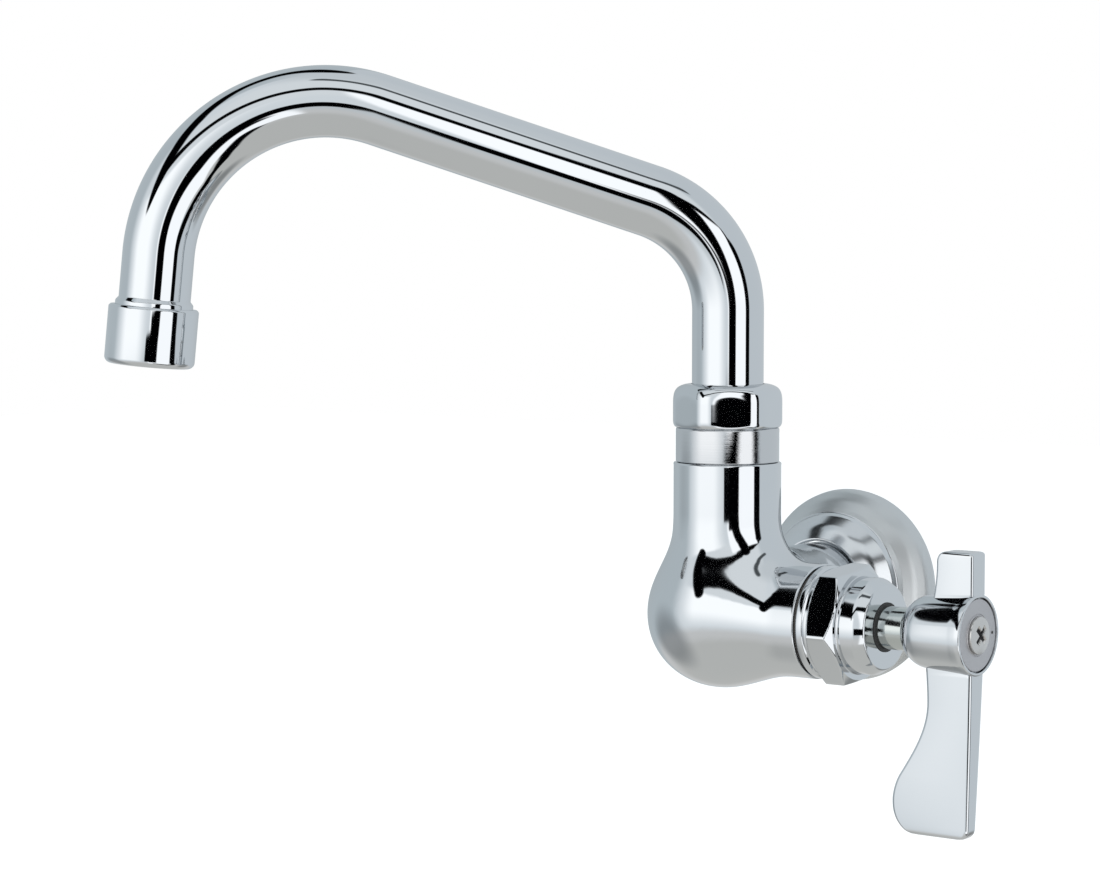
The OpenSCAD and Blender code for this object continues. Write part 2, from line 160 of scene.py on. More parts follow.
def make_tent():
    """A closed tent round the faucet, seen only in its mirror-like parts. Azimuth runs from the camera's own."""
    across, down, facing = 600, 300, 0.62    # facing: what chrome gives back head on
    az, el = np.meshgrid(np.linspace(-180, 180, across, endpoint=False), np.linspace(-90, 90, down + 1))
    shown = tent_light(az, el)
    light = np.where(shown <= 0.04045, shown / 12.92, ((shown + 0.055) / 1.055) ** 2.4)
    # what the chrome takes away, less at grazing angles
    towards = np.cos(np.radians(el)) * np.cos(np.radians(az))
    cosine = np.sqrt(np.clip((1 + towards) / 2, 0, 1))
    light = light / (facing + (1 - facing) * (1 - cosine) ** 5)[..., None]
    a = np.radians(az + CAMERA_AZIMUTH)
    e = np.radians(el)
    middle = np.array((HUB + Vector((0, 0, TENT_RISE))) * MM)
    out_from = np.stack([np.sin(a) * np.cos(e), -np.cos(a) * np.cos(e), np.sin(e)], axis=-1)
    where = middle + TENT_RADIUS * out_from
    faces = []
    for j in range(down):
        for i in range(across):
            k = (i + 1) % across
            faces.append((j * across + i, (j + 1) * across + i, (j + 1) * across + k, j * across + k))
    mesh = bpy.data.meshes.new("tent")
    mesh.from_pydata(where.reshape(-1, 3).tolist(), [], faces)
    layer = mesh.attributes.new("light", "FLOAT_COLOR", "POINT")
    rgba = np.concatenate([light, np.ones(az.shape + (1,))], axis=-1)
    layer.data.foreach_set("color", rgba.ravel().astype(np.float32))
    mat = bpy.data.materials.new("tent")
    mat.use_nodes = True
    nodes, links = mat.node_tree.nodes, mat.node_tree.links
    nodes.clear()
    out = nodes.new("ShaderNodeOutputMaterial")
    emit = nodes.new("ShaderNodeEmission")
    colour = nodes.new("ShaderNodeAttribute")
    colour.attribute_name = "light"
    links.new(colour.outputs["Color"], emit.inputs["Color"])
    links.new(emit.outputs["Emission"], out.inputs["Surface"])
    mat.cycles.emission_sampling = "NONE"
    mesh.materials.append(mat)
    ob = bpy.data.objects.new("tent", mesh)
    bpy.context.scene.collection.objects.link(ob)
    ob.visible_camera = False
    ob.visible_shadow = False
    ob.visible_diffuse = False


def make_studio():
    scene = bpy.context.scene
    scene.view_settings.view_transform = "Standard"
    world = bpy.data.worlds.new("studio")
    scene.world = world
    world.use_nodes = True
    nodes, links = world.node_tree.nodes, world.node_tree.links
    nodes.clear()
    out = nodes.new("ShaderNodeOutputWorld")
    walls = nodes.new("ShaderNodeBackground")
    walls.inputs["Color"].default_value = (0.90, 0.955, 1.0, 1)
    walls.inputs["Strength"].default_value = 0.86
    seen = nodes.new("ShaderNodeBackground")
    seen.inputs["Color"].default_value = (1, 1, 1, 1)
    seen.inputs["Strength"].default_value = 1.0
    path = nodes.new("ShaderNodeLightPath")
    mix = nodes.new("ShaderNodeMixShader")
    links.new(path.outputs["Is Camera Ray"], mix.inputs["Fac"])
    links.new(walls.outputs["Background"], mix.inputs[1])
    links.new(seen.outputs["Background"], mix.inputs[2])
    links.new(mix.outputs["Shader"], out.inputs["Surface"])

    # pale floor, far below the wall-held faucet
    floor_mesh = bpy.data.meshes.new("floor")
    corners = [(-1, -1), (1, -1), (1, 1), (-1, 1)]
    floor_mesh.from_pydata([(x * FLOOR_HALF, y * FLOOR_HALF, FLOOR_HEIGHT) for x, y in corners], [], [(0, 1, 2, 3)])
    floor_mat = bpy.data.materials.new("floor")
    floor_mat.use_nodes = True
    shader = floor_mat.node_tree.nodes["Principled BSDF"]
    shader.inputs["Base Color"].default_value = (0.93, 0.925, 0.91, 1)
    shader.inputs["Roughness"].default_value = 0.9
    shader.inputs["Emission Color"].default_value = (1.0, 0.99, 0.975, 1)
    shader.inputs["Emission Strength"].default_value = 0.34
    floor_mesh.materials.append(floor_mat)
    floor = bpy.data.objects.new("floor", floor_mesh)
    scene.collection.objects.link(floor)
    floor.visible_glossy = False

    make_tent()

    # key light for the few diffuse parts
    lamp = bpy.data.lights.new("key", "AREA")
    lamp.energy = 18
    lamp.size = 0.8
    key = bpy.data.objects.new("key", lamp)
    key.location = (0.5, -1.2, 1.1)
    key.rotation_euler = (HUB * MM - key.location).to_track_quat("-Z", "Y").to_euler()
    scene.collection.objects.link(key)
    key.visible_glossy = False


# ---------------------------------------------------------------- materials
def metal(name, colour, rough, bump=0.0, scale=400.0, wear=0.04, lathe=None, tint=0.0):
    """Metal with faint smudges in its gloss and colour, and a fine surface.

    lathe = (axis, lines per metre) draws the fine surface out into turning lines round that axis.
    """
    mat = bpy.data.materials.new(name)
    mat.use_nodes = True
    nodes, links = mat.node_tree.nodes, mat.node_tree.links
    shader = nodes["Principled BSDF"]
    shader.inputs["Metallic"].default_value = 1.0
    coord = nodes.new("ShaderNodeTexCoord")
    smudge = nodes.new("ShaderNodeTexNoise")
    smudge.inputs["Scale"].default_value = 35.0
    smudge.inputs["Detail"].default_value = 5.0
    links.new(coord.outputs["Object"], smudge.inputs["Vector"])
    gloss = nodes.new("ShaderNodeMapRange")
    gloss.inputs["From Min"].default_value = 0.35
    gloss.inputs["From Max"].default_value = 0.75
    gloss.inputs["To Min"].default_value = rough
    gloss.inputs["To Max"].default_value = rough + wear
    links.new(smudge.outputs["Fac"], gloss.inputs["Value"])
    links.new(gloss.outputs["Result"], shader.inputs["Roughness"])
    shade = nodes.new("ShaderNodeMix")
    shade.data_type = "RGBA"
    shade.inputs["A"].default_value = (*colour, 1)
    shade.inputs["B"].default_value = (*[c * (0.96 - tint) for c in colour], 1)
    links.new(smudge.outputs["Fac"], shade.inputs["Factor"])
    links.new(shade.outputs["Result"], shader.inputs["Base Color"])
    fine = nodes.new("ShaderNodeTexNoise")
    fine.inputs["Scale"].default_value = scale
    fine.inputs["Detail"].default_value = 3.0
    if lathe:
        axis, lines = lathe
        squeeze = nodes.new("ShaderNodeMapping")
        stretch = [3.0, 3.0, 3.0]
        stretch[axis] = lines
        squeeze.inputs["Scale"].default_value = stretch
        links.new(coord.outputs["Object"], squeeze.inputs["Vector"])
        links.new(squeeze.outputs["Vector"], fine.inputs["Vector"])
        fine.inputs["Scale"].default_value = 1.0
    else:
        links.new(coord.outputs["Object"], fine.inputs["Vector"])
    if bump:
        relief = nodes.new("ShaderNodeBump")
        relief.inputs["Strength"].default_value = bump
        relief.inputs["Distance"].default_value = 0.0002
        links.new(fine.outputs["Fac"], relief.inputs["Height"])
        links.new(relief.outputs["Normal"], shader.inputs["Normal"])
    return mat


def plain(name, colour, rough, bump=0.3, scale=900.0, vary=0.12):
    """Rubber, plastic, fibre or ceramic with slight mottling and grain."""
    mat = bpy.data.materials.new(name)
    mat.use_nodes = True
    nodes, links = mat.node_tree.nodes, mat.node_tree.links
    shader = nodes["Principled BSDF"]
    shader.inputs["Roughness"].default_value = rough
    coord = nodes.new("ShaderNodeTexCoord")
    noise = nodes.new("ShaderNodeTexNoise")
    noise.inputs["Scale"].default_value = scale
    noise.inputs["Detail"].default_value = 4.0
    links.new(coord.outputs["Object"], noise.inputs["Vector"])
    ramp = nodes.new("ShaderNodeMix")
    ramp.data_type = "RGBA"
    ramp.inputs["A"].default_value = (*[c * (1 - vary) for c in colour], 1)
    ramp.inputs["B"].default_value = (*[min(1, c * (1 + vary)) for c in colour], 1)
    links.new(noise.outputs["Fac"], ramp.inputs["Factor"])
    links.new(ramp.outputs["Result"], shader.inputs["Base Color"])
    relief = nodes.new("ShaderNodeBump")
    relief.inputs["Strength"].default_value = bump
    relief.inputs["Distance"].default_value = 0.0001
    links.new(noise.outputs["Fac"], relief.inputs["Height"])
    links.new(relief.outputs["Normal"], shader.inputs["Normal"])
    return mat


CHROME = (0.60, 0.62, 0.64)
finishes = {
    "cast_chrome": metal("cast_chrome", CHROME, 0.03, bump=0.02, scale=120),
    "flange_chrome": metal("flange_chrome", CHROME, 0.16, bump=0.02, scale=150),
    "tube_chrome": metal("tube_chrome", CHROME, 0.02, bump=0.01, scale=160),
    "nut_chrome": metal("nut_chrome", CHROME, 0.03, bump=0.02, scale=200),
    "outlet_chrome": metal("outlet_chrome", CHROME, 0.03, bump=0.02, scale=200),
    "aerator_chrome": metal("aerator_chrome", CHROME, 0.03, bump=0.02, scale=200),
    "bonnet_chrome": metal("bonnet_chrome", CHROME, 0.03, bump=0.02, scale=200),
    "lever_chrome": metal("lever_chrome", CHROME, 0.05, bump=0.03, scale=140),
    "stem_metal": metal("stem_metal", (0.50, 0.50, 0.50), 0.22, bump=0.15, lathe=(0, 9000)),
    "satin_insert": metal("satin_insert", (0.49, 0.485, 0.50), 0.35, bump=0.1, scale=1500, wear=0.1),
    "screw_steel": metal("screw_steel", (0.58, 0.57, 0.56), 0.18, bump=0.1, scale=900),
    "steel_mesh": metal("steel_mesh", (0.52, 0.52, 0.53), 0.3, bump=0.2, scale=2500),
    "steel_clip": metal("steel_clip", (0.45, 0.45, 0.47), 0.3, bump=0.1, scale=1200),
    "brass": metal("brass", (0.70, 0.52, 0.25), 0.22, bump=0.2, scale=900, tint=0.08),
    "rubber": plain("rubber", (0.02, 0.02, 0.02), 0.6),
    "fibre": plain("fibre", (0.06, 0.055, 0.05), 0.8, scale=1500, vary=0.3),
    "white_plastic": plain("white_plastic", (0.82, 0.82, 0.80), 0.4, vary=0.03),
    "grey_plastic": plain("grey_plastic", (0.45, 0.46, 0.47), 0.35, vary=0.05),
    "ceramic": plain("ceramic", (0.86, 0.83, 0.78), 0.15, bump=0.05, vary=0.03),
}
brushed_skirt = metal("brushed_skirt", (0.56, 0.57, 0.585), 0.05, bump=0.10, lathe=(2, 9000), wear=0.05)
satin_band = metal("satin_band", (0.58, 0.60, 0.61), 0.36, bump=0.05, scale=900, wear=0.08)
sleeve_chrome = metal("sleeve_chrome", (0.50, 0.53, 0.52), 0.07, bump=0.1, scale=600, wear=0.1)
# near-black painted shade for the screw's cross recess
recess_shade = plain("recess_shade", (0.018, 0.018, 0.02), 0.6)

slot_of = {s["node"]: s["material_slot"] for s in frame["record"]["subparts"]}
for node_name, node_object in frame["nodes"].items():
    for k in range(max(1, len(node_object.material_slots))):
        if not node_object.material_slots:
            node_object.data.materials.append(finishes[slot_of[node_name]])
        node_object.material_slots[k].material = finishes[slot_of[node_name]]


# ---------------------------------------------------------------- placing, as in the CAD
def place(matrix_mm):
    """A placing matrix given in millimetres, for points in millimetres, giving metres."""
    return Matrix.Scale(MM, 4) @ matrix_mm


TO_RISER = Matrix.Translation(HUB)
TO_VALVE = TO_RISER @ Matrix.Rotation(math.radians(90), 4, "Y")
TO_INLET = Matrix.Rotation(math.radians(90), 4, "X")
TO_SPOUT = TO_RISER @ Matrix.Rotation(SPOUT_OUT, 4, "Z")

ARM_RISE = math.radians(18.5)
OUTLET_LEAN = math.radians(5.4)
CORNER_Z, BEND_R = 102.3, 30.5        # where riser and arm would meet, and the bend there
GOOSE_X, GOOSE_Z = 106.0, 90.9        # middle of the arch at the far end
OUTLET_STRAIGHT = 11.6
TUBE_R = 9.47
BEND_ANGLE = math.pi / 2 - ARM_RISE
GOOSE_R = GOOSE_X * math.sin(ARM_RISE) + (CORNER_Z - GOOSE_Z) * math.cos(ARM_RISE)
OUTLET_TOP = (GOOSE_X + GOOSE_R * math.cos(OUTLET_LEAN), GOOSE_Z + GOOSE_R * math.sin(OUTLET_LEAN))
TO_OUTLET = (TO_SPOUT @ Matrix.Translation((OUTLET_TOP[0], 0, OUTLET_TOP[1]))
             @ Matrix.Rotation(math.pi - OUTLET_LEAN, 4, "Y") @ Matrix.Translation((0, 0, OUTLET_STRAIGHT)))


# ---------------------------------------------------------------- mesh tools
def fillet(points, steps=5):
    """Rounds a profile. points are (r, z) or (r, z, corner radius)."""
    out = []
    for i, p in enumerate(points):
        radius = p[2] if len(p) > 2 else 0
        if not radius or i in (0, len(points) - 1):
            out.append((p[0], p[1]))
            continue
        here = Vector(p[:2])
        a = (Vector(points[i - 1][:2]) - here).normalized()
        b = (Vector(points[i + 1][:2]) - here).normalized()
        half = a.angle(b) / 2
        middle = here + (a + b).normalized() * radius / math.sin(half)
        start, end = here + a * radius / math.tan(half) - middle, here + b * radius / math.tan(half) - middle
        for k in range(steps + 1):
            d = (start * (1 - k / steps) + end * (k / steps)).normalized() * radius
            out.append(tuple(middle + d))
    return out


class Builder:
    """Collects verts and faces in millimetres, then makes one smooth-shaded object in metres."""

    def __init__(self):
        self.verts, self.faces, self.marks = [], [], []

    def add(self, verts, faces, matrix=Matrix.Identity(4), mark=0):
        base = len(self.verts)
        self.verts += [tuple(place(matrix) @ Vector(v)) for v in verts]
        self.faces += [tuple(base + k for k in f) for f in faces]
        self.marks += [mark] * len(faces)

    def rings(self, rings, matrix, caps=True, mark=0):
        """A skin over rings of equal length, with both ends closed by caps."""
        n = len(rings[0])
        faces = []
        for j in range(len(rings) - 1):
            for i in range(n):
                k = (i + 1) % n
                faces.append((j * n + i, j * n + k, (j + 1) * n + k, (j + 1) * n + i))
        verts = [p for ring in rings for p in ring]
        if caps:
            last = (len(rings) - 1) * n
            faces += [tuple(reversed(range(n))), tuple(range(last, last + n))]
        self.add(verts, faces, matrix, mark)

    def lathe(self, profile, matrix, segments=160, mark=0):
        """A profile of (r, z) turned about z."""
        rings = [[(max(r, 1e-4) * math.cos(2 * math.pi * i / segments),
                   max(r, 1e-4) * math.sin(2 * math.pi * i / segments), z) for i in range(segments)]
                 for r, z in profile]
        self.rings(rings, matrix, caps=False, mark=mark)

    def polar(self, rings, matrix, segments=288, mark=0):
        """Rings of (z, radius as a function of the angle)."""
        made = [[(f(t) * math.cos(t), f(t) * math.sin(t), z)
                 for t in (2 * math.pi * i / segments for i in range(segments))] for z, f in rings]
        self.rings(made, matrix, caps=False, mark=mark)

    def finish(self, name, body, nodes, materials, sharp=35):
        """Makes the piece. marks choose between its materials; edges above sharp degrees stay crisp."""
        mesh = bpy.data.meshes.new(name)
        mesh.from_pydata(self.verts, [], self.faces)
        bm = bmesh.new()
        bm.from_mesh(mesh)
        bmesh.ops.remove_doubles(bm, verts=bm.verts, dist=1e-8)
        bmesh.ops.recalc_face_normals(bm, faces=bm.faces)
        bm.to_mesh(mesh)
        bm.free()
        for m in materials:
            mesh.materials.append(m)
        if len(materials) > 1 and len(mesh.polygons) == len(self.marks):
            mesh.polygons.foreach_set("material_index", self.marks)
        mesh.polygons.foreach_set("use_smooth", [True] * len(mesh.polygons))
        mesh.set_sharp_from_angle(angle=math.radians(sharp))
        ob = bpy.data.objects.new(name, mesh)
        bpy.context.scene.collection.objects.link(ob)
        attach(ob, body)
        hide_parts(*nodes)


def soft_min(a, b, k):
    """The smaller of two values, with the change from one to the other rounded over k."""
    h = max(k - abs(a - b), 0.0) / k
    return min(a, b) - h * h * k / 4


def rounding(distance, length):
    """How much of a quarter round is still to come at this distance from its tip: 1 at the tip, 0 past its length."""
    return 1 - math.sqrt(max(0.0, 1 - max(0.0, 1 - distance / length) ** 2))


def hexagon(across, turn, corner):
    """Radius of a six-sided bar as a function of angle; corner softens its long edges."""
    def radius(t):
        a = (math.degrees(t) - turn) % 60 - 30
        flat = across / 2 / math.cos(math.radians(a))
        return soft_min(flat, across / math.sqrt(3) - corner * 0.35, corner)
    return radius


# ---------------------------------------------------------------- spout
def spout_path():
    """Points and directions of the tube's centre line in the spout's plane."""
    path = []
    low, bend_start = 53.0, CORNER_Z - BEND_R * math.tan(BEND_ANGLE / 2)
    for k in range(13):
        path.append((0.0, low + (bend_start - low) * k / 12, math.pi / 2))
    for k in range(1, 61):
        a = BEND_ANGLE * k / 60
        path.append((BEND_R - BEND_R * math.cos(a), bend_start + BEND_R * math.sin(a), math.pi / 2 - a))
    x0, z0, _ = path[-1]
    x1, z1 = GOOSE_X - GOOSE_R * math.sin(ARM_RISE), GOOSE_Z + GOOSE_R * math.cos(ARM_RISE)
    for k in range(1, 31):
        path.append((x0 + (x1 - x0) * k / 30, z0 + (z1 - z0) * k / 30, ARM_RISE))
    turn = ARM_RISE + math.pi / 2 - OUTLET_LEAN
    for k in range(1, 101):
        a = turn * k / 100
        up = math.pi / 2 + ARM_RISE - a
        path.append((GOOSE_X + GOOSE_R * math.cos(up), GOOSE_Z + GOOSE_R * math.sin(up), ARM_RISE - a))
    x0, z0, way = path[-1]
    for k in range(1, 7):
        along = OUTLET_STRAIGHT * k / 6
        path.append((x0 + math.cos(way) * along, z0 + math.sin(way) * along, way))
    return path


def make_spout():
    """Bent tube, the collar at its outlet and the sleeve of the aerator."""
    segments = 96
    rings = []
    for x, z, way in spout_path():
        side = Vector((-math.sin(way), 0, math.cos(way)))
        ring = []
        for i in range(segments):
            t = 2 * math.pi * i / segments
            p = Vector((x, 0, z)) + side * (TUBE_R * math.cos(t)) + Vector((0, TUBE_R * math.sin(t), 0))
            ring.append(tuple(p))
        rings.append(ring)
    tube = Builder()
    tube.rings(rings, TO_SPOUT)
    tube.finish("spout_pipe", "spout", ["spout_tube"], [finishes["tube_chrome"]])

    collar = Builder()
    collar.lathe(fillet([(8.4, -0.2), (TUBE_R, -0.2), (TUBE_R, 0.1, 0.3), (10.25, 1.0, 0.6), (10.3, 2.0), (10.3, 3.0),
                         (10.5, 3.0), (10.5, 8.1), (7.0, 8.1), (7.0, 0.0), (8.4, -0.2)]), TO_OUTLET)
    collar.finish("outlet_collar", "spout", ["outlet_thread"], [finishes["outlet_chrome"]])

    r, top, low = 11.9, 2.1, 17.8
    housing = Builder()
    housing.lathe(fillet([(10.65, top + 2), (10.65, top, 0.2), (r - 0.5, top, 0.5), (r, top + 0.6, 0.5),
                          (r, low - 0.1, 1.7), (9.2, low, 0.35), (9.2, low - 1.4, 0.2), (10.05, low - 1.4),
                          (10.05, top + 6.4), (10.65, top + 6.4), (10.65, top + 2)]), TO_OUTLET)
    housing.finish("aerator_sleeve", "spout", ["aerator_housing"],
                   [finishes["aerator_chrome"]])


# ---------------------------------------------------------------- spout nut
def rounded_hexagon(across, turn, corner):
    """Radius of a six-sided bar as a function of angle, its long edges rounded with the radius corner."""
    half = across / 2
    centre = (half - corner) / math.cos(math.radians(30))
    reach = math.degrees(math.atan2((half - corner) * math.tan(math.radians(30)), half))

    def radius(t):
        a = abs((math.degrees(t) - turn) % 60 - 30)
        if a <= reach:
            return half / math.cos(math.radians(a))
        b = math.radians(30 - a)
        return centre * math.cos(b) + math.sqrt(max(0.0, corner ** 2 - (centre * math.sin(b)) ** 2))
    return radius


def make_spout_nut():
    """Six-sided nut, domed at both ends, on a round brushed skirt."""
    skirt_low, hex_low, top = 40.5, 49.4, 61.1
    shoulder, foot, widest, blend = 5.0, 2.2, 15.7, 2.2
    flats = rounded_hexagon(26.6, 90 - SPOUT_TURN, 5.0)

    def turned(z):
        """Radius of the dome that rounds both ends of the bar, at height z."""
        u = min(1.0, max(0.0, (z - (top - shoulder)) / shoulder))
        v = min(1.0, max(0.0, (hex_low + foot - z) / foot))
        return widest - 6.0 * (1 - math.sqrt(1 - u * u)) - 3.2 * (1 - math.sqrt(1 - v * v))

    steps, rings = 90, [(hex_low, lambda t: 12.4)]
    for k in range(steps + 1):
        z = hex_low + (top - hex_low) * 0.5 * (1 - math.cos(math.pi * k / steps))
        rings.append((z, lambda t, limit=turned(z): soft_min(flats(t), limit, blend)))
    rings += [(top - 0.3, lambda t: 9.68), (top - 3, lambda t: 9.66)]
    nut = Builder()
    nut.polar(rings, TO_RISER)
    nut.lathe(fillet([(12.1, skirt_low + 1), (12.1, skirt_low), (13.7, skirt_low, 0.35),
                      (13.7, hex_low + 0.1, 0.5), (12.9, hex_low + 0.15), (12.5, hex_low + 0.6)]),
              TO_RISER, mark=1)
    nut.finish("domed_nut", "body", ["spout_nut"], [finishes["nut_chrome"], brushed_skirt],
               sharp=50)


# ---------------------------------------------------------------- bonnet
def make_bonnet():
    """Collar, chamfered hexagon and round-shouldered barrel."""
    across, turn = 28.6, -22.6
    start, end = 33.7, 41.7
    flats = hexagon(across, turn, corner=0.25)
    rings = [(x, lambda t, r=r: r) for r, x in fillet(
        [(11.5, 30.7), (14.8, 30.7, 0.5), (14.8, 32.6, 0.5), (14.2, 33.0), (14.2, start)])]
    for k in range(49):
        x = start + (end - start) * k / 48
        limit = min(across / 2 - 0.1 + (x - start) * 1.75, across / 2 - 0.1 + (end - x) * 1.55)
        rings.append((x, lambda t, limit=limit: soft_min(flats(t), limit, 0.3)))
    rings += [(x, lambda t, r=r: r) for r, x in fillet(
        [(13.2, end), (12.7, end, 0.2), (12.6, end + 0.5, 0.3), (12.6, BONNET_FACE - 2.7, 1.8),
         (11.0, BONNET_FACE, 0.7), (5.8, BONNET_FACE, 0.2), (5.7, BONNET_FACE - 3)])]
    bonnet = Builder()
    bonnet.polar(rings, TO_VALVE)
    bonnet.finish("bonnet", "body", ["bonnet_nut"], [finishes["bonnet_chrome"]], sharp=28)


# ---------------------------------------------------------------- flange
def make_flange():
    """Bell-shaped flange: a satin rim round a polished dome."""
    rim_inside, rim_depth = 21.6, 10.6
    flange = Builder()
    flange.lathe(fillet([
        (25.4, 0.0), (26.7, 0.0, 0.3), (27.0, 1.5, 1.0), (26.6, 4.2, 6.0), (24.6, 7.6, 8.0), (22.2, 10.0, 0.8),
        (20.9, 10.9, 0.9), (20.3, 12.4, 2.0), (17.6, 16.2, 10.0), (14.2, 18.9, 0.5), (13.65, 18.4, 0.2),
        (13.65, 15.2), (17.0, 14.6, 2.0), (18.9, 11.0, 2.0), (20.9, 8.6, 2.0), (24.0, 5.2, 2.0), (25.4, 2.0, 1.0),
        (25.4, 0.0)], steps=8), TO_INLET, segments=220)
    for f, corners in enumerate(flange.faces):
        x, y, z = (sum(flange.verts[k][i] for k in corners) / len(corners) / MM for i in range(3))
        flange.marks[f] = int(math.hypot(x, z) > rim_inside and y > -rim_depth)
    flange.finish("bell_flange", "body", ["wall_flange"],
                  [finishes["flange_chrome"], satin_band])


# ---------------------------------------------------------------- body, one smoothly blended casting
def body_field(p):
    """Distance-like field of the casting, in millimetres about the hub. Negative inside."""
    x, y, z = p[:, 0], p[:, 1], p[:, 2]

    def blend(a, b, k):
        h = np.clip(k - np.abs(a - b), 0, None) / k
        return np.minimum(a, b) - h * h * k / 4

    def swell(s, near, far, start, stop):
        u = np.clip((s - start) / (stop - start), 0, 1)
        return near + (far - near) * (u * u * (3 - 2 * u))

    belly = np.sqrt((x + 4.4) ** 2 + (y - 1.5) ** 2 + (z + 0.9) ** 2) - 18.3
    neck = np.sqrt(x * x + y * y + np.minimum(z - 6, 0) ** 2) - swell(z, 15.8, 14.25, 5, 27)
    valve = np.sqrt(y * y + z * z + np.minimum(x - 5, 0) ** 2) - swell(x, 16.2, 15.0, 6, 24)
    inlet = np.sqrt(x * x + (z - 2) ** 2 + np.minimum(y - 7, 0) ** 2) - swell(y, 15.0, 13.3, 14, 36)
    f = blend(belly, neck, 8.0)
    f = blend(f, valve, 10.0)
    return blend(f, inlet, 8.0)


def surface(field, low, high, pitch):
    """Surface nets: verts and quads of a field's zero surface, then moved exactly on to it."""
    axes = [np.arange(low[i], high[i] + pitch, pitch) for i in range(3)]
    grid = np.stack(np.meshgrid(*axes, indexing="ij"), axis=-1)
    shape = grid.shape[:3]
    value = field(grid.reshape(-1, 3)).reshape(shape)
    inside = value < 0
    total = np.zeros(tuple(n - 1 for n in shape) + (3,))
    count = np.zeros(total.shape[:3])
    corners = [(i, j, k) for i in (0, 1) for j in (0, 1) for k in (0, 1)]
    cut = lambda c: tuple(slice(c[i], shape[i] - 1 + c[i]) for i in range(3))
    for a in corners:
        for axis in range(3):
            if a[axis]:
                continue
            b = tuple(c + (1 if i == axis else 0) for i, c in enumerate(a))
            va, vb = value[cut(a)], value[cut(b)]
            crossing = (va < 0) != (vb < 0)
            t = np.where(crossing, va / np.where(crossing, va - vb, 1), 0)
            point = grid[cut(a)] + (grid[cut(b)] - grid[cut(a)]) * t[..., None]
            total += point * crossing[..., None]
            count += crossing
    index = -np.ones(total.shape[:3], int)
    used = count > 0
    index[used] = np.arange(used.sum())
    verts = total[used] / count[used][:, None]
    quads = []
    for axis in range(3):
        u, v = [i for i in range(3) if i != axis]
        a = [slice(None)] * 3
        b = [slice(None)] * 3
        a[axis], b[axis] = slice(0, -1), slice(1, None)
        change = inside[tuple(a)] != inside[tuple(b)]
        where = np.argwhere(change)
        ok = (where[:, u] > 0) & (where[:, v] > 0)
        ok &= (where[:, u] < shape[u] - 1) & (where[:, v] < shape[v] - 1)
        where = where[ok]
        quad = []
        for du, dv in ((0, 0), (1, 0), (1, 1), (0, 1)):
            cell = where.copy()
            cell[:, u] -= du
            cell[:, v] -= dv
            quad.append(index[cell[:, 0], cell[:, 1], cell[:, 2]])
        quads.append(np.stack(quad, axis=1))
    quads = np.concatenate(quads)
    quads = quads[(quads >= 0).all(axis=1)]
    step = 1e-3
    for _ in range(6):
        grad = np.stack([(field(verts + d) - field(verts - d)) / (2 * step) for d in np.eye(3) * step], axis=1)
        steepness = np.maximum((grad ** 2).sum(axis=1), 0.2)
        verts = verts - grad * (field(verts) / steepness)[:, None]
    return verts, quads


def make_body():
    """The cast body, cut off flat at its three ends, with its lips, spigot and inlet thread."""
    back = -RISER_Y - 1.0
    verts, quads = surface(body_field, (-25, -22, -22), (32, 66, 42), 0.8)
    mesh = bpy.data.meshes.new("casting")
    mesh.from_pydata([tuple(v) for v in verts], [], [tuple(int(k) for k in q) for q in quads])
    bm = bmesh.new()
    bm.from_mesh(mesh)
    for point, normal in (((0, 0, NECK_TOP), (0, 0, 1)), ((VALVE_END, 0, 0), (1, 0, 0)), ((0, back, 0), (0, 1, 0))):
        everything = bm.verts[:] + bm.edges[:] + bm.faces[:]
        bmesh.ops.bisect_plane(bm, geom=everything, plane_co=point, plane_no=normal, clear_outer=True)
    bmesh.ops.remove_doubles(bm, verts=bm.verts, dist=1e-4)
    bm.verts.index_update()
    skin_verts = [tuple(v.co) for v in bm.verts]
    skin_faces = [tuple(v.index for v in f.verts) for f in bm.faces]
    bm.free()
    casting = Builder()
    casting.add(skin_verts, skin_faces, TO_RISER)
    # rounded lips at the two machined ends
    casting.lathe(fillet([(14.3, NECK_TOP), (14.3, 40.4, 0.45), (12.0, 40.4), (12.0, 48.9), (9.3, 48.9), (9.3, 30)]),
                  TO_RISER)
    casting.lathe(fillet([(15.0, VALVE_END), (15.0, 30.0, 0.4), (11.5, 30.0), (11.5, 20)]), TO_VALVE)
    # inlet with its thread
    casting.lathe(fillet([(13.3, 1.0), (13.3, 0.0, 0.5), (10.2, 0.0), (9.6, 0.6)]), TO_INLET)
    pitch, depth, mouth, mouth_r, bore_r = 1.814, 0.9, 0.6, 9.65, 7.0

    def groove(s, t):
        """Radius of the thread at depth s and angle t, running out towards the mouth."""
        saw = abs(((s / pitch + t / (2 * math.pi)) % 1) * 2 - 1)
        return mouth_r - depth * saw * min(1, (s - mouth) / 2)

    thread = []
    for k in range(151):
        s = mouth + 14.4 * k / 150
        thread.append((s, lambda t, s=s: groove(s, t)))
    thread += [(15.2, lambda t: bore_r), (40.0, lambda t: bore_r)]
    casting.polar(thread, TO_INLET, segments=96)
    bpy.data.meshes.remove(mesh)
    casting.finish("casting", "body", ["faucet_body"], [finishes["cast_chrome"]])


# ---------------------------------------------------------------- lever
def smooth_curve(a, b, c, d, n=14):
    """Points along a curve from a to d, drawn towards b and c."""
    points = []
    for i in range(n + 1):
        t, s = i / n, 1 - i / n
        points.append(tuple(s ** 3 * a[j] + 3 * s * s * t * b[j] + 3 * s * t * t * c[j] + t ** 3 * d[j]
                            for j in (0, 1)))
    return points


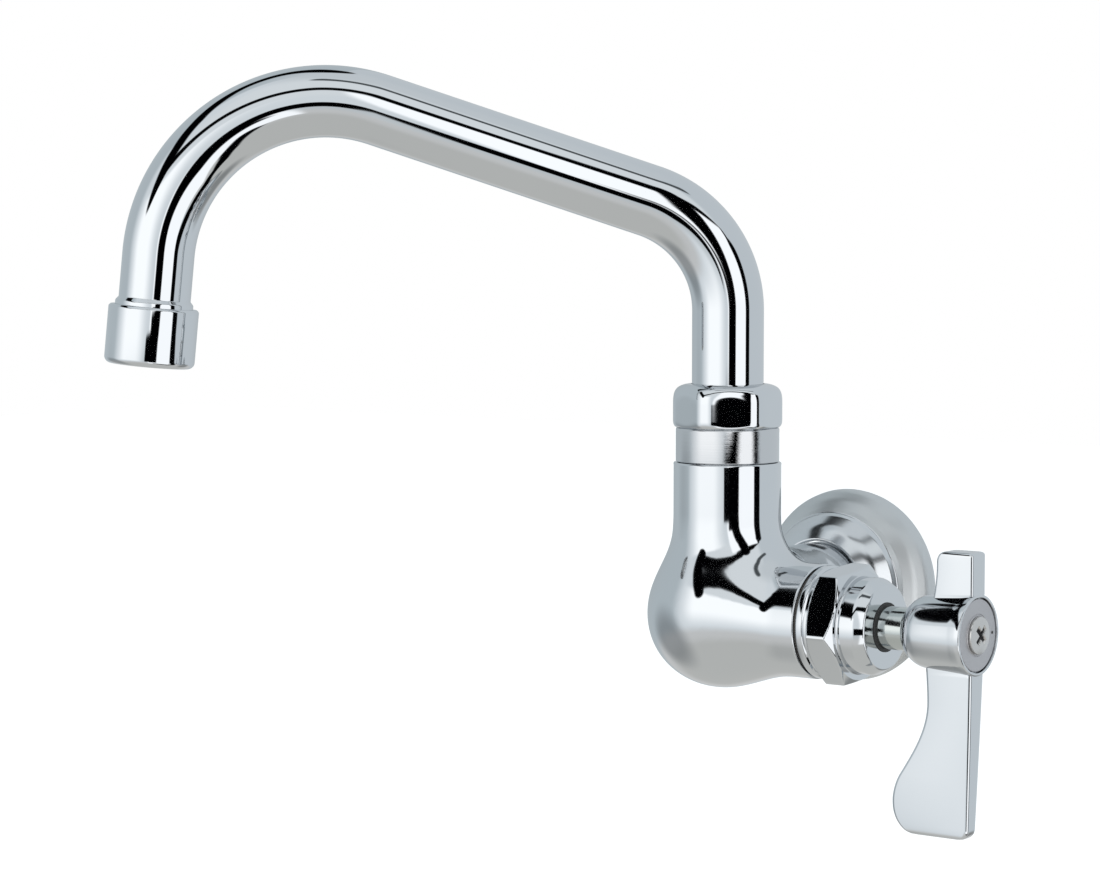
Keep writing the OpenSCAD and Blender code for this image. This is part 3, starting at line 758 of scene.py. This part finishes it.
def pad(builder, rows, matrix, corner):
    """A soft-edged bar. rows are (height, low x, high x, thickness); every section has rounded corners."""
    rings = []
    for z, x0, x1, t in rows:
        r = min(corner, (x1 - x0) / 2 - 0.01, t / 2 - 0.01)
        ring = []
        inset = t / 2 - r
        for cx, cy, start in ((x1 - r, inset, 0), (x0 + r, inset, 90), (x0 + r, -inset, 180), (x1 - r, -inset, 270)):
            for k in range(9):
                a = math.radians(start + 90 * k / 8)
                ring.append((cx + r * math.cos(a), cy + r * math.sin(a), z))
        rings.append(ring)
    builder.rings(rings, matrix)


def between(points, z):
    """x of a curve of (x, z) points, at height z."""
    pts = sorted(points, key=lambda p: p[1])
    if z <= pts[0][1]:
        return pts[0][0]
    for (xa, za), (xb, zb) in zip(pts, pts[1:]):
        if za <= z <= zb:
            return xa + (xb - xa) * ((z - za) / (zb - za) if zb > za else 0)
    return pts[-1][0]


def make_lever():
    """Blade, short tab and hub, and the round disc let into the hub's face."""
    face, start = LEVER_FACE, LEVER_START
    lip, lip_r = 1.4, 9.9    # the bars stop short of the face within the hub's recess
    lever = Builder()
    # blade: straight outer edge, waisted inner edge that widens to a broad rounded foot
    inner = (smooth_curve((62.2, -5), (62.4, -10), (62.9, -15), (62.7, -19))
             + smooth_curve((62.7, -19), (62.2, -25.5), (58.4, -31.2), (55.0, -36.4))
             + smooth_curve((55.0, -36.4), (53.0, -39.2), (52.2, -42.6), (52.4, -45)))
    outer = smooth_curve((face - 0.2, -5), (face - 0.5, -20), (face - 1.0, -36), (face - 1.5, -50.0))
    foot, root, count = -52.2, -4.0, 90
    foot_thick, root_thick = 4.6, 7.0
    rows = []
    for k in range(count):
        z = foot + (root - foot) * (k / (count - 1)) ** 1.25
        up = z - foot
        thick = foot_thick + (root_thick - foot_thick) * (z + 54) / 44 - 1.5 * rounding(up, 0.9)
        limit = face - lip if z > -lip_r else face
        rows.append((z, between(inner, z) + 6.5 * rounding(up, 7.5),
                     min(limit, between(outer, z) - 2.6 * rounding(up, 2.6)), thick))
    pad(lever, rows, TO_RISER, 1.1)
    # short tab above the hub
    tip, root, count = 20.9, 6.0, 40
    rows = []
    for k in range(count):
        z = tip - (tip - root) * (k / (count - 1)) ** 1.6
        down = tip - z
        back = 65.4 - 1.6 * max(0.0, 1 - (z - root) / 12) ** 2
        limit = face - lip if z < lip_r else face
        rows.append((z, back + 2.4 * rounding(down, 2.6), min(limit, face - 0.05 - 0.9 * rounding(down, 0.9)),
                     root_thick - 1.2 * rounding(down, 0.9)))
    pad(lever, rows[::-1], TO_RISER, 0.9)
    # hub with a raised lip round the insert
    flare = (smooth_curve((6.0, start), (7.3, start + 1.0), (8.9, 59.2), (9.35, 61.6))
             + smooth_curve((9.35, 61.6), (9.65, 63.6), (9.9, 69), (10.2, 73))[1:])
    profile = [(3.9, start), (5.7, start)] + fillet([
        *flare, (10.4, 74.4), (10.4, face, 0.45), (9.55, face, 0.15), (9.45, face - 1.3), (2.3, face - 1.3),
        (2.3, 67)])
    lever.lathe(profile, TO_VALVE, segments=144)
    lever.finish("lever", "lever", ["handle_lever"], [finishes["lever_chrome"]], sharp=32)

    insert = Builder()
    insert.lathe(fillet([(2.3, face - 1.3), (2.3, face - 0.35), (5.0, face - 0.35), (5.15, face - 0.5),
                         (5.3, face - 0.5), (5.45, face - 0.35), (9.25, face - 0.3, 0.3), (9.28, face - 1.3)]),
                 TO_VALVE, segments=128)
    # small round index mark near the edge
    mark_at = TO_VALVE @ Matrix.Translation((0.0, 7.4, 0.0))
    insert.lathe([(0, face - 0.24), (0.38, face - 0.24), (0.42, face - 0.4)], mark_at, segments=24, mark=1)
    insert.finish("index_disc", "lever", ["handle_insert"],
                  [finishes["satin_insert"], finishes["rubber"]])


def make_stem_sleeve():
    """Polished sleeve on the stem, with the thin rubber lip that closes the bonnet's bore."""
    face, end, radius = BONNET_FACE + 0.02, LEVER_START - 0.2, 5.56
    lip_r, lip_end = 6.4, face + 0.26
    sleeve = Builder()
    sleeve.lathe(fillet([(radius - 0.06, face), (lip_r, face), (lip_r, lip_end, 0.1), (radius - 0.06, lip_end)]),
                 TO_VALVE)
    sleeve.lathe(fillet([(radius - 0.3, face), (radius, face), (radius, end, 0.1), (radius - 0.3, end)]),
                 TO_VALVE, mark=1)
    sleeve.finish("stem_sleeve", "lever", ["stem_wiper"], [finishes["rubber"], sleeve_chrome])


def make_screw():
    """Domed head with a cross recess with sloping walls, on a shank."""
    seat, head_r = LEVER_FACE - 0.3, 4.75
    arm_half, arm_reach, recess = 0.66, 2.55, 1.5
    n, steps = 144, 44
    turn = math.radians(45)
    radii = [0.0001] + [head_r * k / steps for k in range(1, steps + 1)]
    angles = [2 * math.pi * i / n for i in range(n)]

    def dome(r):
        return seat + 1.2 - 0.5 * (r / head_r) ** 2.4

    def height(r, t):
        u, v = r * math.cos(t - turn), r * math.sin(t - turn)
        arm = min(max(abs(v) - arm_half, (abs(u) - arm_reach) * 0.8),
                  max(abs(u) - arm_half, (abs(v) - arm_reach) * 0.8))
        depth = min(1.0, max(0.0, (0.22 - arm) / 0.44))
        return dome(r) - recess * depth * (1 - 0.45 * r / 2.6 if r < 2.6 else 0.55)

    rings = [[(r * math.cos(t), r * math.sin(t), height(r, t)) for t in angles] for r in radii]
    shank = fillet([(head_r, seat + 0.7), (4.85, seat + 0.4, 0.1), (4.8, seat), (1.8, seat), (1.8, 58)])[1:]
    rings += [[(r * math.cos(t), r * math.sin(t), z) for t in angles] for r, z in shank]
    head = Builder()
    head.rings(rings, TO_VALVE)
    # painted shade: the faces of the cross recess are coloured near black
    for f, corners in enumerate(head.faces):
        if len(corners) == 4 and corners[3] < (steps + 1) * n:
            j, i = corners[0] // n, corners[0] % n
            r = radii[min(j + 1, steps)]
            head.marks[f] = int(height(r, 2 * math.pi * (i + 0.5) / n) < dome(r) - 0.4)
    head.finish("cross_screw", "lever", ["handle_screw"], [finishes["screw_steel"], recess_shade],
                sharp=45)


# ---------------------------------------------------------------- the whole faucet
make_body()
make_flange()
make_spout_nut()
make_bonnet()
make_spout()
make_lever()
make_stem_sleeve()
make_screw()

make_camera()
make_studio()
